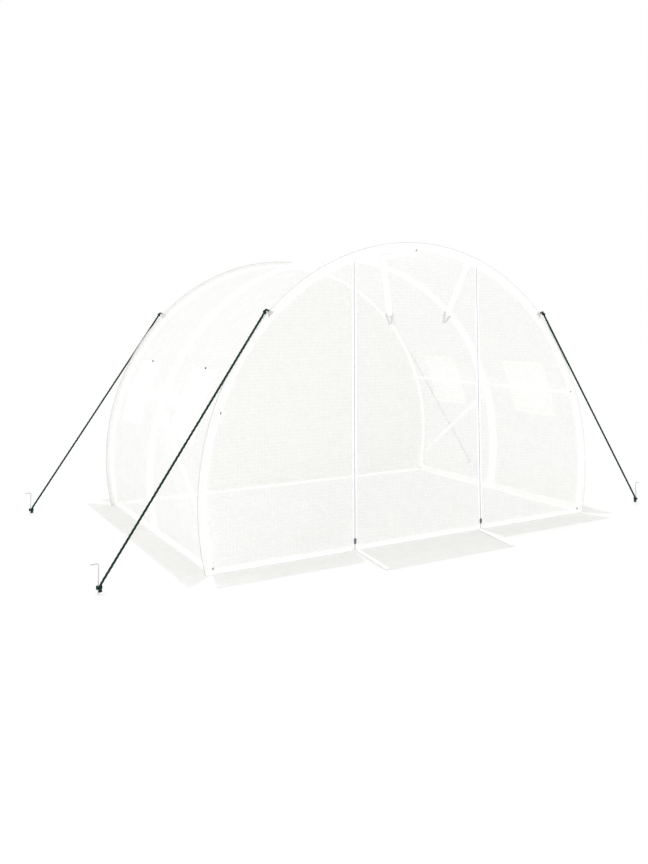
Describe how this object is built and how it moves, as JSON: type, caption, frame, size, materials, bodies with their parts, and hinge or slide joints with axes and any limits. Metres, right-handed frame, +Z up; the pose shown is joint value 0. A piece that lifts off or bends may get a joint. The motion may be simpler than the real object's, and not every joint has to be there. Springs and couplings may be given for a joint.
{
  "type": "walk-in tunnel greenhouse",
  "caption": "Walk-in tunnel greenhouse: white tube hoops under translucent film, a zipped roll-up door, side windows, ground skirts and green guy ropes on pegs.",
  "frame": {"origin": "on the ground, in the middle of the footprint of the frame, walls and skirts", "axes": "+Z up, +X to the right as seen from outside the door, -Y out through the door wall"},
  "size_m": [4.41, 2.7206, 2.0123],
  "materials": {
    "frame_steel": "white powder coat, satin",
    "cover_film": "translucent white film with a woven reinforcing grid",
    "skirt_film": "translucent film, doubled at the hem",
    "white_webbing": "plain white webbing",
    "zip_tape": "white tape with a blue-grey chain",
    "zip_slider": "dark grey enamel",
    "buckle_plastic": "light grey, satin",
    "window_net": "white insect net",
    "tab_webbing": "grey woven tab",
    "guy_rope": "dark green braided rope",
    "peg_steel": "bare bright wire"
  },
  "bodies": {
    "tent": {"front_hoop_left": "frame_steel", "front_hoop_right": "frame_steel", "middle_hoop_left": "frame_steel", "middle_hoop_right": "frame_steel", "back_hoop_left": "frame_steel", "back_hoop_right": "frame_steel", "front_rail": "frame_steel", "back_rail": "frame_steel", "left_rail_front": "frame_steel", "left_rail_back": "frame_steel", "right_rail_front": "frame_steel", "right_rail_back": "frame_steel", "ridge_purlin": "frame_steel", "left_purlin": "frame_steel", "right_purlin": "frame_steel", "left_brace": "frame_steel", "right_brace": "frame_steel", "roof_cover": "cover_film", "middle_band": "white_webbing", "front_wall_left": "cover_film", "front_wall_right": "cover_film", "front_header": "cover_film", "back_wall": "cover_film", "left_zip_wall_side": "zip_tape", "right_zip_wall_side": "zip_tape", "left_skirt": "skirt_film", "right_skirt": "skirt_film", "front_skirt_left": "skirt_film", "front_skirt_right": "skirt_film", "back_skirt": "skirt_film", "left_net_front": "window_net", "left_net_back": "window_net", "right_net_front": "window_net", "right_net_back": "window_net", "front_left_tab": "tab_webbing", "front_right_tab": "tab_webbing", "back_left_tab": "tab_webbing", "back_right_tab": "tab_webbing", "front_left_rope": "guy_rope", "front_right_rope": "guy_rope", "back_left_rope": "guy_rope", "back_right_rope": "guy_rope", "front_left_peg": "peg_steel", "front_right_peg": "peg_steel", "back_left_peg": "peg_steel", "back_right_peg": "peg_steel"},
    "door": {"door_panel": "cover_film", "door_skirt": "skirt_film", "left_zip_door_side": "zip_tape", "right_zip_door_side": "zip_tape"},
    "left_slider": {"left_zip_slider": "zip_slider"},
    "right_slider": {"right_zip_slider": "zip_slider"},
    "left_tie": {"left_tie": "white_webbing", "left_tie_buckle": "buckle_plastic"},
    "right_tie": {"right_tie": "white_webbing", "right_tie_buckle": "buckle_plastic"},
    "left_flap_front": {"left_flap_front": "cover_film"},
    "left_flap_back": {"left_flap_back": "cover_film"},
    "right_flap_front": {"right_flap_front": "cover_film"},
    "right_flap_back": {"right_flap_back": "cover_film"}
  },
  "joints": [
    {"name": "door_swing", "type": "hinge", "parent": "tent", "child": "door", "pos_m": [0, -0.9108, 1.86], "axis": [-1, 0, 0], "range_deg": [0, 100]},
    {"name": "left_tie_swing", "type": "hinge", "parent": "tent", "child": "left_tie", "pos_m": [0, -0.9108, 1.86], "axis": [-1, 0, 0], "range_deg": [0, 100]},
    {"name": "right_tie_swing", "type": "hinge", "parent": "tent", "child": "right_tie", "pos_m": [0, -0.9108, 1.86], "axis": [-1, 0, 0], "range_deg": [0, 100]},
    {"name": "left_zip_travel", "type": "slide", "parent": "door", "child": "left_slider", "axis": [0, 0, 1], "range_m": [0, 1.77]},
    {"name": "right_zip_travel", "type": "slide", "parent": "door", "child": "right_slider", "axis": [0, 0, 1], "range_m": [0, 1.77]},
    {"name": "left_flap_front_swing", "type": "hinge", "parent": "tent", "child": "left_flap_front", "pos_m": [-1.3888, -0.4475, 1.13901], "axis": [0, 1, 0], "range_deg": [0, 120]},
    {"name": "left_flap_back_swing", "type": "hinge", "parent": "tent", "child": "left_flap_back", "pos_m": [-1.3888, 0.6525, 1.13901], "axis": [0, 1, 0], "range_deg": [0, 120]},
    {"name": "right_flap_front_swing", "type": "hinge", "parent": "tent", "child": "right_flap_front", "pos_m": [1.3888, -0.4475, 1.13901], "axis": [0, -1, 0], "range_deg": [0, 120]},
    {"name": "right_flap_back_swing", "type": "hinge", "parent": "tent", "child": "right_flap_back", "pos_m": [1.3888, 0.6525, 1.13901], "axis": [0, -1, 0], "range_deg": [0, 120]}
  ],
  "couplings": [
    {"joint": "left_tie_swing", "follows": "door_swing", "ratio": 1},
    {"joint": "right_tie_swing", "follows": "door_swing", "ratio": 1}
  ]
}
